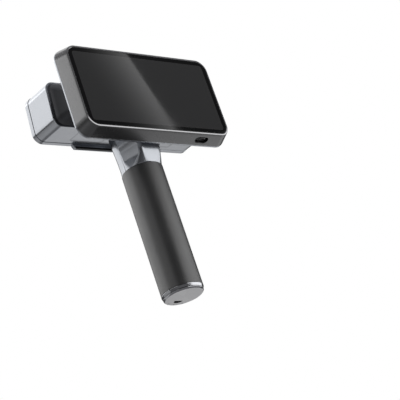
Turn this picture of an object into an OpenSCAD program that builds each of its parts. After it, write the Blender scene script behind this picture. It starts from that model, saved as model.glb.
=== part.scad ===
// Handheld 3-D scanner with its own screen: a wide optical head on a round pistol grip,
// a touch display behind the head, and a battery inside the grip.
// Units are millimetres. The grip stands on +Z, its foot is at Z = 0, the head looks along +Y
// and the user looks along +Y at the screen, which faces -Y.

/* [Grip] */
// outer radius of the soft grip sleeve
grip_r = 19.2; // [17:0.1:22]
// height of the foot under the sleeve
foot_h = 4.7; // [3:0.1:8]
// length of the grip sleeve
grip_len = 120.4; // [100:0.1:140]
// wall of the soft sleeve
sleeve_t = 1.6; // [1:0.1:3]
// outer radius of the battery pack
battery_r = 14.6; // [10:0.1:15]
// length of the battery pack
battery_len = 84; // [60:1:90]

/* [Head] */
// width of the black front window
window_w = 175; // [150:0.5:200]
// height of the black front window
window_h = 42.5; // [35:0.5:55]
// thickness of the front window
window_t = 1.6; // [1:0.1:3]
// corner radius of the front window
window_r = 8; // [4:0.5:14]
// metal rim seen round the window
bezel_rim = 1.3; // [0.8:0.1:3]
// depth of the front bezel
bezel_t = 5; // [3:0.1:8]
// depth of the metal head, front face to rear edge
head_depth = 34.5; // [28:0.5:45]
// upward pitch of the head against the grip
head_pitch = 4.7; // [0:0.1:10]
// centre of the window in front of the grip axis
head_y = 24.9; // [15:0.1:35]
// height of the centre of the window
head_z = 187.8; // [170:0.1:200]
// wall of the head shell
head_wall = 2; // [1.5:0.1:3]

/* [Display] */
// width of the screen glass
screen_w = 158; // [140:0.5:170]
// height of the screen glass
screen_h = 79.9; // [70:0.5:90]
// corner radius of the screen glass
screen_r = 9.5; // [5:0.5:14]
// frame seen round the glass
frame_lip = 1.7; // [1:0.1:3]
// how much the frame widens to the rear, each side
frame_flare = 3.6; // [0:0.1:6]
// depth of the frame
frame_d = 13.7; // [10:0.1:18]
// depth of the rear shell's edge
back_d = 2.7; // [2:0.1:5]
// distance of the glass behind the grip axis
screen_y = 43.1; // [35:0.1:55]
// height of the centre of the screen
screen_z = 184; // [170:0.1:195]

/* [Optics] */
// sideways distance of the two large cameras
big_cam_x = 65.2; // [55:0.1:70]
// height of the two large cameras above the window centre
big_cam_z = -7.3; // [-12:0.1:0]
// sideways distance of the two small cameras
small_cam_x = 73.1; // [65:0.1:78]
// height of the small cameras above the window centre
small_cam_z = 12.4; // [8:0.1:15]
// radius of the large camera openings
big_cam_r = 7.7; // [5:0.1:9]
// radius of the small camera openings
small_cam_r = 6.2; // [4:0.1:8]
// projector position, towards the user's left
projector_x = -31; // [-45:0.5:0]
// radius of the projector opening
projector_r = 10; // [7:0.1:12]

/* [Clearances] */
// gap between parts that only sit together
seat = 0.1; // [0.05:0.05:0.3]
// radial clearance of parts that turn
run = 0.08; // [0.03:0.01:0.1]
// turn of the foot cap from locked to open, degrees
cap_turn = 45; // [20:1:60]

/* [Hidden] */
$fn = 72;
eps = 0.01;
colour_silver = [0.72, 0.73, 0.76];
colour_gunmetal = [0.36, 0.37, 0.39];
colour_black = [0.03, 0.03, 0.035];
colour_dark = [0.12, 0.12, 0.125];
colour_grip = [0.16, 0.16, 0.165];
colour_foot = [0.62, 0.63, 0.65];
colour_steel = [0.6, 0.61, 0.62];
colour_board = [0.04, 0.22, 0.14];
colour_brass = [0.72, 0.58, 0.3];
colour_glass = [0.3, 0.34, 0.4, 0.4];

bezel_w = window_w + 2 * bezel_rim;
bezel_h = window_h + 2 * bezel_rim;
bezel_r = window_r + bezel_rim;
shell_w = bezel_w - 0.8;
shell_h = bezel_h - 0.8;
shell_r = bezel_r - 0.4;
frame_w = screen_w + 2 * frame_lip;
frame_h = screen_h + 2 * frame_lip;
frame_r = screen_r + frame_lip;
frame_back_w = frame_w + 2 * frame_flare;
frame_back_h = frame_h + 2 * frame_flare;
frame_back_r = frame_r + 1.6;
frame_wall = 2.2;
display_d = frame_d + back_d;
display_back_y = -screen_y + display_d;
grip_top = foot_h + grip_len;
tube_r = grip_r - sleeve_t - 0.05;
tube_in_r = tube_r - 1.7;
neck_r = 18.7;
neck_top_r = 20;
neck_wall = 2;
cover_x = [22, 57];
cover_y0 = -10.5;
cover_r = 2.5;
rim_w = 169;
rim_h = 41.2;
small_led_x = [62.1, 54.6];
ring_led_dx = 8;
ring_led_dz = 8;
led_r = 2;
small_led_r = 1.9;
laser_spots = [[7.2, -6.4], [-7.5, -2], [-8.2, -11.8]];
square_x = 7.6;
square_z = 12.4;
square_w = 5.4;
camera_y = -19;
fan_x = 50;
fan_z = 0;
fan_y0 = -44.6;
fan_h = 7;
button_x = 52;
button_travel = 0.6;
port_x = 49.5;
port_y = 7.4;
recess_y = 10.5;
board_post_x = 50;
board_post_z = 8;
boss_x = 56;
boss_z = [head_z - 12.6, head_z + 3.4];

// which part to draw

// ---- helpers ----

// flat rounded rectangle
module rrect(w, h, r) {
  square([w - 2 * r, h], center = true);
  square([w, h - 2 * r], center = true);
  for (sx = [-1, 1]) {
    for (sy = [-1, 1]) {
      translate([sx * (w / 2 - r), sy * (h / 2 - r)])
        circle(r);
    }
  }
}

// rounded plate standing in the XZ plane between y0 and y1
module slab(w, h, r, y0, y1) {
  translate([0, y1, 0])
    rotate([90, 0, 0])
      linear_extrude(y1 - y0)
        rrect(w, h, r);
}

// square-edged bar between y0 and y1, centred on x and z
module bar(w, h, y0, y1) {
  translate([-w / 2, y0, -h / 2])
    cube([w, y1 - y0, h]);
}

// round bar along Y between y0 and y1
module rod(r, y0, y1) {
  translate([0, y1, 0])
    rotate([90, 0, 0])
      cylinder(r = r, h = y1 - y0);
}

// tube along Y
module pipe(r_out, r_in, y0, y1) {
  difference() {
    rod(r_out, y0, y1);
    rod(r_in, y0 - 1, y1 + 1);
  }
}

// children placed on the pitched head, whose origin is the window's centre
module on_head() {
  translate([0, head_y, head_z])
    rotate([head_pitch, 0, 0])
      children();
}

// children placed on the display, whose origin is the centre of the glass face
module on_display() {
  translate([0, -screen_y, screen_z])
    children();
}

// block that widens evenly from y0 to y1, with rounded corners
module flared_block(w0, h0, r0, w1, h1, r1, y0, y1) {
  hull() {
    slab(w0, h0, r0, y0, y0 + eps);
    slab(w1, h1, r1, y1 - eps, y1);
  }
}

// everything in front of the display's rear face
module before_display() {
  translate([-150, display_back_y + seat, 0])
    cube([300, 150, 300]);
}

// children drawn on the user's right and mirrored to the left
module both_sides() {
  children();
  mirror([1, 0, 0])
    children();
}

// ---- optical head ----

module window_openings(grow) {
  both_sides() {
    translate([big_cam_x, 0, big_cam_z])
      rod(big_cam_r + grow, -9, 3);
    translate([small_cam_x, 0, small_cam_z])
      rod(small_cam_r + grow, -9, 3);
  }
}

module led_places() {
  both_sides() {
    for (sx = [-1, 1]) {
      for (sz = [-1, 1]) {
        translate([big_cam_x + sx * ring_led_dx, 0, big_cam_z + sz * ring_led_dz])
          children();
      }
    }
    for (x = small_led_x) {
      translate([x, 0, small_cam_z])
        children();
    }
  }
}

module front_window() {
  color(colour_black)
    on_head()
      difference() {
        slab(window_w, window_h, window_r, -window_t, 0);
        window_openings(0);
        led_places() rod(led_r, -9, 3);
        translate([projector_x, 0, -7.5])
          rod(projector_r, -9, 3);
        for (s = [-1, 1]) {
          translate([s * square_x, 0, square_z])
            bar(square_w, square_w, -9, 3);
        }
        for (p = laser_spots) {
          translate([p[0], 0, p[1]])
            bar(1.6, 4.4, -9, 3);
        }
      }
}

module camera_windows() {
  color(colour_glass)
    on_head()
      both_sides() {
        translate([big_cam_x, 0, big_cam_z])
          rod(big_cam_r - 0.05, -window_t, -0.1);
        translate([small_cam_x, 0, small_cam_z])
          rod(small_cam_r - 0.05, -window_t, -0.1);
      }
}

module projector_window() {
  color(colour_glass)
    on_head()
      translate([projector_x, 0, -7.5])
        rod(projector_r - 0.05, -window_t, -0.1);
}

module led_windows() {
  color(colour_glass)
    on_head()
      led_places() rod(led_r - 0.05, -window_t, -0.1);
}

module sensor_windows() {
  color(colour_glass)
    on_head() {
      for (s = [-1, 1]) {
        translate([s * square_x, 0, square_z])
          bar(square_w - 0.1, square_w - 0.1, -window_t, -0.1);
      }
      for (p = laser_spots) {
        translate([p[0], 0, p[1]])
          bar(1.5, 4.3, -window_t, -0.1);
      }
    }
}

module front_bezel() {
  color(colour_silver)
    on_head()
      difference() {
        slab(bezel_w, bezel_h, bezel_r, -bezel_t, -0.3);
        slab(window_w + seat, window_h + seat, window_r, -window_t - 0.05, 3);
        slab(window_w - 6, window_h - 4, window_r - 2, -bezel_t - 1, 3);
      }
}

// shallow hood under the middle of the bezel, with thicker ends that slant in
module chin_lip() {
  color(colour_silver)
    on_head()
      translate([0, 0, -bezel_h / 2 - 0.05])
        difference() {
          translate([-49, -4, -3.4])
            cube([98, 3.6, 3.4]);
          translate([-46.1, -5, -4])
            cube([92.2, 3.4, 2.7]);
          for (s = [-1, 1]) {
            translate([s * 49, -5, -3.4])
              rotate([0, s * 30, 0])
                translate([-3, 0, -6])
                  cube([6, 6, 6]);
          }
        }
}

// dark strip set into the lower half of the hood from behind
module chin_strip() {
  color(colour_black)
    on_head()
      translate([-46, -4, -bezel_h / 2 - 3.3])
        cube([92, 2.3, 1.85]);
}

module head_shell() {
  color(colour_silver)
    difference() {
      on_head()
        difference() {
          slab(shell_w, shell_h, shell_r, -head_depth, -bezel_t - 0.1);
          slab(shell_w - 2 * head_wall, shell_h - 2 * head_wall, shell_r - head_wall, -head_depth - 1, 1);
          both_sides()
            cover_plate(0, -shell_h / 2 - 1, head_wall + 2);
        }
      neck_opening();
    }
}

// flat plate with two rounded front corners, beside the neck
module cover_plate(gap, z, h) {
  translate([cover_x[0] + gap, -head_depth - 1 + gap, z])
    cube([cover_x[1] - cover_x[0] - 2 * gap, head_depth + 1 + cover_y0 - cover_r - gap, h]);
  translate([cover_x[0] + cover_r, cover_y0 - cover_r - 1, z])
    cube([cover_x[1] - cover_x[0] - 2 * cover_r, cover_r + 1 - gap, h]);
  for (x = cover_x) {
    translate([x + (x < 40 ? cover_r : -cover_r), cover_y0 - cover_r, z])
      cylinder(r = cover_r - gap, h = h);
  }
}

// round way through the head's floor for the neck bracket and its cable
module neck_opening() {
  translate([0, 0, 140])
    cylinder(r = neck_r - neck_wall + 0.3, h = 40);
}

// two panels that close the head underneath, one each side of the neck
module bottom_cover() {
  color(colour_silver)
    on_head()
      intersection() {
        both_sides()
          cover_plate(seat, -shell_h / 2, head_wall);
        translate([-100, -head_depth + 0.2, -40])
          cube([200, 60, 60]);
      }
}

// four screw bosses behind the display, each tied to the housing's top or bottom wall
module housing_bosses() {
  for (s = [-1, 1]) {
    for (t = [-1, 1]) {
      translate([s * boss_x, display_back_y + seat, boss_z[(t + 1) / 2]]) {
        rotate([-90, 0, 0])
          cylinder(r = 3.2, h = 4.2);
        translate([-1, 0, t > 0 ? 0 : -5])
          cube([2, 4.2, 5]);
      }
    }
  }
}

module boss_holes(r) {
  for (s = [-1, 1]) {
    for (z = boss_z) {
      translate([s * boss_x, display_back_y - 20, z])
        rotate([-90, 0, 0])
          cylinder(r = r, h = 28);
    }
  }
}

module rear_housing() {
  color(colour_dark)
    difference() {
      union() {
        housing_bosses();
        housing_walls();
      }
      boss_holes(1.55);
    }
}

// outside of the rear housing less a wall: it closes in quickly from the head's rim to the display
module housing_form(wall) {
  hull() {
    slab(rim_w - 2 * wall, rim_h - 2 * wall, 7.5 - wall / 2, -head_depth - 1, -head_depth - 0.1);
    slab(152 - 2 * wall, 31 - 2 * wall, 9 - wall, -43, -42.9);
  }
  hull() {
    slab(152 - 2 * wall, 31 - 2 * wall, 9 - wall, -43, -42.9);
    slab(136 - 2 * wall, 22 - 2 * wall, 8 - wall, -56, -55.9);
  }
}

// places of the two grilles, level with the housing's sloping top
module vent_places() {
  both_sides()
    translate([34, -40.4, 16.9])
      rotate([31, 0, 0])
        children();
}

module housing_walls() {
  intersection() {
    before_display();
    on_head()
      difference() {
        union() {
          housing_form(0);
          slab(shell_w - 2 * head_wall - 0.4, shell_h - 2 * head_wall - 0.4, 6.5, -head_depth - 0.2,
               -head_depth + 3);
        }
        intersection() {
          housing_form(2.5);
          slab(300, 300, 1, -80, -head_depth - 2.2);
        }
        slab(130, 16, 5, -62, 0);
        slab(shell_w - 14, shell_h - 12, 5, -head_depth - 2.3, 0);
        vent_places()
          translate([0, -3, -6])
            cube([30, 6, 12]);
        translate([0, -32, -40])
          cylinder(r = 4.5, h = 30);
      }
  }
}

// two louvred grilles in the top of the housing, where the air comes in and leaves
module top_vents() {
  color(colour_black)
    on_head()
      vent_places()
        difference() {
          translate([0.1, -2.9, -2.2])
            cube([29.8, 5.8, 2]);
          for (i = [0 : 6]) {
            translate([1.9 + i * 3.9, -2, -3])
              cube([2.4, 4, 4]);
          }
        }
}

module optical_frame() {
  color(colour_steel)
    on_head()
      difference() {
        union() {
          slab(166, 34, 6, camera_y - 3, camera_y);
          for (s = [-1, 1]) {
            translate([-56, camera_y - 9, s * 16 - 1])
              cube([112, 7, 2]);
            translate([s * board_post_x, 0, board_post_z])
              rod(3.2, camera_y - 10.5, camera_y - 2);
          }
        }
        both_sides() {
          translate([big_cam_x, 0, big_cam_z])
            rod(7.05, -60, 3);
          translate([small_cam_x, 0, small_cam_z])
            rod(5.55, -60, 3);
          translate([board_post_x, 0, board_post_z])
            rod(1.55, -60, camera_y - 3);
        }
        translate([projector_x, 0, -7.5])
          rod(9.05, -60, 3);
        for (p = laser_spots) {
          translate([p[0], 0, p[1]])
            rod(2.05, -60, 3);
        }
        neck_screw_places()
          cylinder(r = 1.25, h = 8);
      }
}

module large_cameras() {
  color(colour_black)
    on_head()
      both_sides()
        translate([big_cam_x, 0, big_cam_z])
          difference() {
            union() {
              rod(7, camera_y - 6, -4.2);
              bar(16, 15, camera_y - 9.5, camera_y - 3.1);
            }
            rod(5.6, -7, -3);
            rod(4.2, camera_y - 4, -6);
          }
}

module small_cameras() {
  color(colour_black)
    on_head()
      both_sides()
        translate([small_cam_x, 0, small_cam_z])
          difference() {
            rod(5.5, camera_y - 8, -4.2);
            rod(4.3, -7, -3);
            rod(3.2, camera_y - 4, -6);
          }
}

// front lens of each camera, seated in its barrel
module camera_lenses() {
  color(colour_glass)
    on_head()
      both_sides() {
        translate([big_cam_x, 0, big_cam_z])
          rod(5.55, -6.95, -5.6);
        translate([small_cam_x, 0, small_cam_z])
          rod(4.25, -6.95, -5.6);
      }
}

module pattern_projector() {
  color(colour_black)
    on_head()
      translate([projector_x, 0, -7.5])
        difference() {
          union() {
            rod(9, camera_y - 7, -3.6);
            bar(14, 14, camera_y - 9.5, camera_y - 3.1);
          }
          rod(7.6, -6.5, 0);
          rod(5, -16, -6);
        }
}

module projector_lens() {
  color(colour_glass)
    on_head()
      translate([projector_x, 0, -7.5])
        rod(7.55, -6.45, -4.6);
}

module laser_modules() {
  color(colour_brass)
    on_head()
      for (p = laser_spots) {
        translate([p[0], 0, p[1]])
          difference() {
            rod(2, camera_y - 6, -3);
            rod(1.1, -6, 0);
          }
      }
}

// two small square sensors above the lasers
module sensor_module() {
  color(colour_dark)
    on_head()
      for (s = [-1, 1]) {
        translate([s * square_x, 0, square_z])
          difference() {
            bar(7, 7, -8, -2.6);
            bar(4.6, 4.6, -4, 0);
          }
      }
}

module led_boards() {
  color(colour_board)
    on_head()
      both_sides()
        difference() {
          translate([50, -9.4, -18])
            cube([34, 1.2, 35.6]);
          translate([big_cam_x, 0, big_cam_z])
            rod(7.3, -20, 3);
          translate([small_cam_x, 0, small_cam_z])
            rod(5.8, -20, 3);
        }
}

module led_emitters() {
  color(colour_brass)
    on_head()
      led_places() {
        bar(3, 3, -8.1, -7);
        rod(1.3, -7.05, -4.8);
      }
}

// board behind the optics that reads the cameras
module sensor_board() {
  color(colour_board)
    on_head()
      difference() {
        union() {
          slab(150, 30, 2, -31, -29.6);
          for (x = [-40, -14, 14, 40]) {
            translate([x, 0, 0])
              bar(11, 11, -29.7, -28.7);
          }
        }
        for (s = [-1, 1]) {
          translate([s * board_post_x, 0, board_post_z])
            rod(1.6, -60, 3);
        }
      }
}

// ---- cooling ----

module blower_frame() {
  color(colour_black)
    on_head()
      translate([fan_x, fan_y0, fan_z])
        difference() {
          translate([-13, 0, -11.5])
            cube([26, fan_h, 23]);
          rod(10.4, 1, fan_h - 1);
          rod(7, fan_h - 2, fan_h + 1);
          translate([3, 1, 0])
            cube([7, fan_h - 2, 20]);
        }
  color(colour_black)
    on_head()
      translate([fan_x, fan_y0, fan_z])
        rod(1.5, 0.9, fan_h - 2.6);
}

module blower_rotor() {
  blades = 11;
  color(colour_dark)
    on_head()
      translate([fan_x, fan_y0, fan_z])
        difference() {
          union() {
            pipe(5.4, 1.5 + run, 1.3, fan_h - 1.3);
            pipe(9.8, 5, 1.3, 2.1);
            for (i = [0 : blades - 1]) {
              rotate([0, i * 360 / blades, 0])
                translate([5, 1.3, -0.4])
                  cube([4.8, fan_h - 2.6, 0.8]);
            }
          }
          rod(1.5 + run, -3, fan_h);
        }
}

// finned block between the left vent and the blower
module heat_sink() {
  color(colour_steel)
    on_head()
      translate([-63, 0, 0]) {
        translate([0, -38.8, -11])
          cube([26, 2, 22]);
        for (i = [-3 : 3]) {
          translate([0, -44.6, i * 3.3 - 0.5])
            cube([26, 5.9, 1]);
        }
      }
}

// screws that hold the sensor board on the optical frame's posts
module board_screws() {
  color(colour_steel)
    on_head()
      for (s = [-1, 1]) {
        translate([s * board_post_x, 0, board_post_z]) {
          rod(1.5, -32, -24);
          rod(2.6, -33, -31.05);
        }
      }
}

// ---- display ----

module display_frame() {
  color(colour_gunmetal)
    on_display()
      difference() {
        flared_block(frame_w, frame_h, frame_r, frame_back_w, frame_back_h, frame_back_r, -0.3, frame_d);
        slab(screen_w + seat, screen_h + seat, screen_r, -1, 1.15);
        slab(screen_w - 5, screen_h - 5, screen_r - 3, -1, frame_d + 1);
        flared_block(frame_w - 2 * frame_wall, frame_h - 2 * frame_wall, 8, frame_back_w - 2 * frame_wall,
                     frame_back_h - 2 * frame_wall, 9, 3.2, frame_d + eps);
        translate([button_x, 6.8, frame_h / 2 - 6])
          button_outline(9.3, 3.3, 14);
        translate([port_x, port_y, -frame_h / 2 - 8])
          button_outline(15, 7, 14);
      }
}

// upright oblong bar, length along x
module button_outline(l, t, h) {
  translate([-(l - t) / 2, -t / 2, 0])
    cube([l - t, t, h]);
  for (s = [-1, 1]) {
    translate([s * (l - t) / 2, 0, 0])
      cylinder(d = t, h = h);
  }
}

module screen_glass() {
  color(colour_black)
    on_display()
      slab(screen_w, screen_h, screen_r - 0.05, 0, 1.1);
}

module screen_panel() {
  color(colour_dark)
    on_display()
      slab(screen_w - 6, screen_h - 6, screen_r - 4, 1.15, 3.1);
}

module screen_carrier() {
  color(colour_steel)
    on_display()
      difference() {
        slab(frame_w - 2 * frame_wall - 1, frame_h - 2 * frame_wall - 1, 7, 3.25, 4.25);
        for (x = [-45, 0, 45]) {
          translate([x, 0, 0])
            slab(26, 44, 4, 0, 6);
        }
        translate([port_x, 2, -41])
          cube([12, 4, 12], center = true);
        translate([button_x, 2, 41])
          cube([14, 4, 14], center = true);
      }
}

module main_board() {
  color(colour_board)
    on_display()
      difference() {
        union() {
          slab(132, 60, 3, 8.2, 9.6);
          for (p = [[-50, 18], [-50, -18], [-28, 18], [-28, -18]]) {
            translate([p[0], 0, p[1]])
              bar(13, 11, 7.1, 8.3);
          }
          translate([40, 0, -12])
            bar(42, 22, 7.2, 8.3);
        }
        for (x = [-62, 62]) {
          for (z = [-26, 26]) {
            translate([x, 0, z])
              rod(1.6, 0, 20);
          }
        }
      }
}

// metal lid over the processor, with a raised copper-side pad
module processor_shield() {
  color(colour_steel)
    on_display()
      translate([4, 0, 6])
        difference() {
          bar(36, 30, 9.65, 12.4);
          bar(34, 28, 9, 11.8);
        }
}

module display_back_shell() {
  color(colour_silver)
    on_display()
      difference() {
        union() {
          slab(frame_back_w, frame_back_h, frame_back_r, frame_d + 0.05, display_d);
          difference() {
            slab(frame_w - 2 * frame_wall - 0.4, frame_h - 2 * frame_wall - 0.4, 7.8, frame_d - 2, frame_d + 1);
            slab(frame_w - 2 * frame_wall - 4, frame_h - 2 * frame_wall - 4, 6, frame_d - 3, frame_d + 2);
          }
        }
        translate([0, 0, 4])
          bar(60, 16, frame_d - 4, display_d + 1);
        translate([0, screen_y, -screen_z])
          boss_holes(1.7);
      }
}

// plain plate above the head, its lettering left off
module name_plate() {
  color(colour_black)
    on_display()
      translate([0, display_d + 0.02, 0])
        rotate([90, 0, 0])
          translate([0, 0, -0.8])
            linear_extrude(0.8)
              polygon([[26, 31], [26, 39], [-16, 39], [-20.5, 37.4], [-15, 31]]);
}

// data socket on its own oblong flange, set back in the frame's pocket
module usb_port() {
  color(colour_steel)
    on_display()
      translate([port_x, port_y, -frame_h / 2 + 0.6])
        difference() {
          union() {
            button_outline(14.8, 6.8, 1.2);
            translate([0, 0, -1.4])
              button_outline(9.1, 3.3, 9);
          }
          translate([0, 0, -2])
            button_outline(8.5, 2.7, 8.4);
        }
  color(colour_black)
    on_display()
      translate([port_x - 3, port_y - 0.35, -frame_h / 2])
        cube([6, 0.7, 7]);
}

module power_button() {
  color(colour_gunmetal)
    on_display()
      translate([button_x, 6.8, 0])
        union() {
          translate([0, 0, frame_h / 2 - 3])
            button_outline(9, 3, 5.2);
          translate([-5.6, -2.2, frame_h / 2 - 3.05])
            cube([11.2, 4.4, 1.2]);
        }
}

// push switch that the power button presses
module button_switch() {
  color(colour_black)
    on_display()
      translate([button_x, 6.8, frame_h / 2 - 8.2]) {
        translate([-3, -1.7, 0])
          cube([6, 3.4, 2.4]);
        translate([-1, -1, 2.3])
          cube([2, 2, 2.1]);
      }
}

// screws that hold the rear housing and the display together
module display_screws() {
  color(colour_steel)
    for (s = [-1, 1]) {
      for (z = boss_z) {
        translate([s * boss_x, -screen_y, z]) {
          rod(1.5, frame_d - 1, display_d + 4);
          rod(2.8, frame_d - 1.9, frame_d);
        }
      }
    }
}

// ---- neck ----

// side view of the head's underside, used to trim the neck
module under_head(drop) {
  on_head()
    translate([-150, -120, -shell_h / 2 - 150 - drop])
      cube([300, 115, 150]);
}

// front half, turned about the grip axis with a slight flare at the top
module neck_front_shell() {
  color(colour_silver)
    difference() {
      neck_front_form();
      on_head()
        translate([-60, -bezel_t - 0.5, -bezel_h / 2 - 0.15])
          cube([120, 20, 10]);
    }
}

module neck_front_form() {
  intersection() {
    translate([0, 0, grip_top + 0.2])
      difference() {
        rotate_extrude()
          polygon([[0, 0], [neck_r, 0], [neck_r - 0.1, 6], [neck_r + 0.1, 14], [neck_r + 0.6, 24],
                   [neck_top_r, 34], [neck_top_r + 0.4, 46], [0, 46]]);
        translate([0, 0, -1])
          cylinder(r = neck_r - neck_wall, h = 60);
      }
    translate([-60, 0.05, 100])
      cube([120, 60, 100]);
    under_head(0.1);
  }
}

// one level of the neck's rear half: its sides and a flat back between two round corners
module neck_level(height, side_x, corner_x, corner_y, corner_r) {
  translate([0, 0, grip_top + 0.2 + height]) {
    for (s = [-1, 1]) {
      translate([s * (side_x - corner_r), 0, 0])
        cylinder(r = corner_r, h = eps, $fn = 48);
      translate([s * corner_x, corner_y, 0])
        cylinder(r = corner_r, h = eps, $fn = 48);
    }
  }
}

// rear half: round at the grip, then a flat back that leans rearwards to carry the display
module neck_rear_shell() {
  levels = [[0, neck_r, 0, 0, neck_r],
            [9, neck_r + 0.1, 7.2, -14.3, 6],
            [18.5, neck_r + 0.5, 8.6, -17.3, 5],
            [25, neck_r + 0.9, 10, -22, 5],
            [42, neck_top_r, 10.5, -23, 5]];
  color(colour_silver)
    intersection() {
      difference() {
        for (i = [0 : 3]) {
          hull() {
            neck_level(levels[i][0], levels[i][1], levels[i][2], levels[i][3], levels[i][4]);
            neck_level(levels[i + 1][0], levels[i + 1][1], levels[i + 1][2], levels[i + 1][3], levels[i + 1][4]);
          }
        }
        translate([0, 0, grip_top - 1])
          cylinder(r = neck_r - neck_wall, h = 60);
        translate([0, -9, grip_top + 26])
          cylinder(r = neck_r - neck_wall - 1, h = 60);
      }
      translate([-60, -60.05, 100])
        cube([120, 60, 100]);
      under_head(0.1);
      before_display();
    }
}

// metal bracket that ties the grip tube to the optical frame
module neck_bracket() {
  color(colour_steel)
    difference() {
      union() {
        intersection() {
          translate([0, 0, grip_top - 12])
            difference() {
              cylinder(r = tube_in_r - 0.1, h = 80);
              translate([0, 0, -1])
                cylinder(r = tube_in_r - 3, h = 90);
            }
          on_head() {
            translate([-40, -60, -160])
              cube([80, 70, 160 - shell_h / 2 - 0.1]);
            translate([-40, -31.3, -60])
              cube([80, 24, 42]);
          }
        }
        on_head()
          translate([-18, -29.5, -20])
            cube([36, 13, 2.8]);
      }
      on_head()
        neck_screw_places() {
          cylinder(r = 1.35, h = 8);
          translate([0, 0, -6])
            cylinder(r = 2.4, h = 6.8);
        }
    }
}

// the four bracket screws, each from the head's floor upwards
module neck_screw_places() {
  for (x = [-14, 14]) {
    for (y = [-27, -23]) {
      translate([x, y, -19.4])
        children();
    }
  }
}

module neck_screws() {
  color(colour_steel)
    on_head()
      neck_screw_places() {
        cylinder(r = 1.2, h = 4.9);
        translate([0, 0, -0.5])
          cylinder(r = 2.3, h = 1.3);
      }
}

// cable from the grip through the neck to the main board
module neck_cable() {
  color(colour_black)
    translate([0, -7, grip_top - 10])
      cylinder(r = 2.4, h = 54);
}

// ---- grip ----

// ring-shaped room for the cap's lugs, and the two ways in for them
module lug_room() {
  translate([0, 0, 8.9])
    cylinder(r = 16.7, h = 2.2);
  for (a = [0, 180]) {
    rotate([0, 0, a + cap_turn])
      translate([0, -3.4, 0])
        cube([16.7, 6.8, 9]);
  }
}

module grip_tube() {
  color(colour_steel)
    difference() {
      translate([0, 0, foot_h + 0.1])
        cylinder(r = tube_r, h = grip_len - 0.2);
      cylinder(r = tube_in_r, h = grip_len + 20);
      lug_room();
    }
}

module grip_sleeve() {
  color(colour_grip)
    translate([0, 0, foot_h])
      difference() {
        cylinder(r = grip_r, h = grip_len);
        translate([0, 0, -1])
          cylinder(r = tube_r + 0.05, h = grip_len + 2);
      }
}

module foot_ring() {
  color(colour_steel)
    difference() {
      rotate_extrude()
        polygon([[tube_in_r + 0.1, 2], [grip_r - 0.7, 2], [grip_r, 4.2], [grip_r, foot_h - 0.05],
                 [tube_in_r + 0.1, foot_h - 0.05]]);
      lug_room();
    }
}

// cap that closes the grip; a short turn frees its two lugs
module foot_cap() {
  color(colour_foot)
    difference() {
      union() {
        rotate_extrude()
          polygon([[0, 0], [17.2, 0], [17.5, 0.2], [18.4, 1.2], [18.4, 1.9], [tube_in_r - run, 1.9],
                   [tube_in_r - run, 6], [tube_in_r - 1.2, 6], [tube_in_r - 1.2, 7.2], [tube_in_r - run, 7.2],
                   [tube_in_r - run, 14], [0, 14]]);
        intersection() {
          translate([0, 0, 9])
            cylinder(r = 16.6, h = 2);
          translate([-20, -3, 8])
            cube([40, 6, 4]);
        }
      }
      translate([0, 0, 3])
        cylinder(r = tube_in_r - 2.6, h = 12);
      intersection() {
        translate([0, recess_y - 2.4, -1])
          cylinder(r = 4.6, h = 2.8);
        translate([-6, recess_y - 2.4, -2])
          cube([12, 8, 6]);
      }
    }
}

module foot_seal() {
  color(colour_black)
    translate([0, 0, 6.6])
      rotate_extrude()
        translate([tube_in_r - 0.6, 0])
          circle(0.55, $fn = 32);
}

module battery_pack() {
  color([0.1, 0.12, 0.2])
    translate([0, 0, 16])
      rotate_extrude()
        polygon([[0, 0], [battery_r - 1, 0], [battery_r, 1], [battery_r, battery_len - 1],
                 [battery_r - 1, battery_len], [0, battery_len]]);
}

// sprung contact in the cap that presses on the battery
module foot_contact() {
  color(colour_brass) {
    translate([0, 0, 3.05])
      cylinder(r = 8, h = 1);
    translate([0, 0, 4])
      cylinder(r = 3, h = 11.9);
  }
}

module contact_block() {
  color(colour_dark)
    translate([0, 0, 16 + battery_len + 4])
      difference() {
        cylinder(r = tube_in_r - 0.1, h = 5);
        for (p = [[-5, 0], [0, 0], [5, 0]]) {
          translate([p[0], p[1], -1])
            cylinder(r = 1.05, h = 8);
        }
      }
}

module battery_contacts() {
  color(colour_brass)
    translate([0, 0, 16 + battery_len + 0.1])
      for (p = [[-5, 0], [0, 0], [5, 0]]) {
        translate([p[0], p[1], 0])
          cylinder(r = 1, h = 10);
      }
}

front_window();
camera_windows();
projector_window();
led_windows();
sensor_windows();
front_bezel();
chin_lip();
chin_strip();
head_shell();
bottom_cover();
rear_housing();
top_vents();
optical_frame();
large_cameras();
small_cameras();
camera_lenses();
pattern_projector();
projector_lens();
laser_modules();
sensor_module();
led_boards();
led_emitters();
sensor_board();
blower_frame();
blower_rotor();
heat_sink();
board_screws();
display_frame();
screen_glass();
screen_panel();
screen_carrier();
main_board();
processor_shield();
display_back_shell();
name_plate();
usb_port();
power_button();
button_switch();
display_screws();
neck_front_shell();
neck_rear_shell();
neck_bracket();
neck_screws();
neck_cable();
grip_tube();
grip_sleeve();
foot_ring();
foot_cap();
foot_seal();
foot_contact();
battery_pack();
battery_contacts();
contact_block();
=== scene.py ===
"""Looks of the handheld scanner: detailed pieces, procedural finishes, studio and camera.

Lengths are millimetres in the row frame until a mesh is made, which is in metres.
"""

import math

import bmesh
import bpy
from mathutils import Matrix, Vector


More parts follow.
